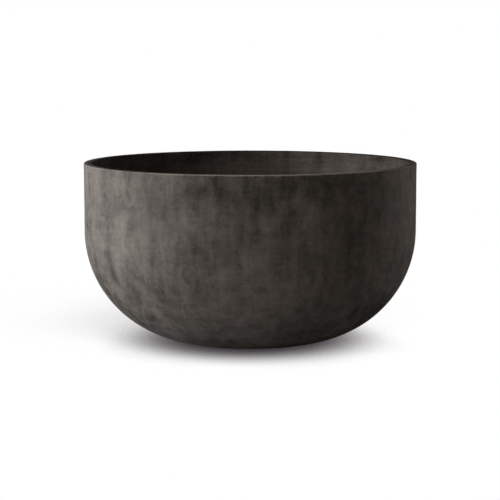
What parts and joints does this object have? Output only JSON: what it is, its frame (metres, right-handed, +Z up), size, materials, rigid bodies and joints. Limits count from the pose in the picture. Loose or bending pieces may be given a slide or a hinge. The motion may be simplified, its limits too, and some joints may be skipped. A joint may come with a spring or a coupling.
{
  "type": "bowl planter",
  "caption": "Round dark charcoal concrete bowl planter with an upright wall, a quarter-round belly, a flat foot on rubber pads, and a drain closed by a rubber plug.",
  "frame": {"origin": "on the floor, under the centre of the bowl, in the plane of the four pads' undersides", "axes": "+Z up along the bowl's axis, -Y towards the viewer of the picture, +X to the viewer's right"},
  "size_m": [0.914, 0.914, 0.494],
  "materials": {
    "concrete": "matte",
    "sleeve_plastic": "satin",
    "plug_rubber": "matte",
    "pad_rubber": "matte"
  },
  "bodies": {
    "bowl": {"bowl_shell": "concrete", "drain_sleeve": "sleeve_plastic", "floor_pad_front_right": "pad_rubber", "floor_pad_back_right": "pad_rubber", "floor_pad_back_left": "pad_rubber", "floor_pad_front_left": "pad_rubber"},
    "plug": {"drain_plug": "plug_rubber"}
  },
  "joints": [
    {"name": "drain_plug_lift", "type": "slide", "parent": "bowl", "child": "plug", "axis": [0, 0, 1], "range_m": [0, 0.52]}
  ]
}
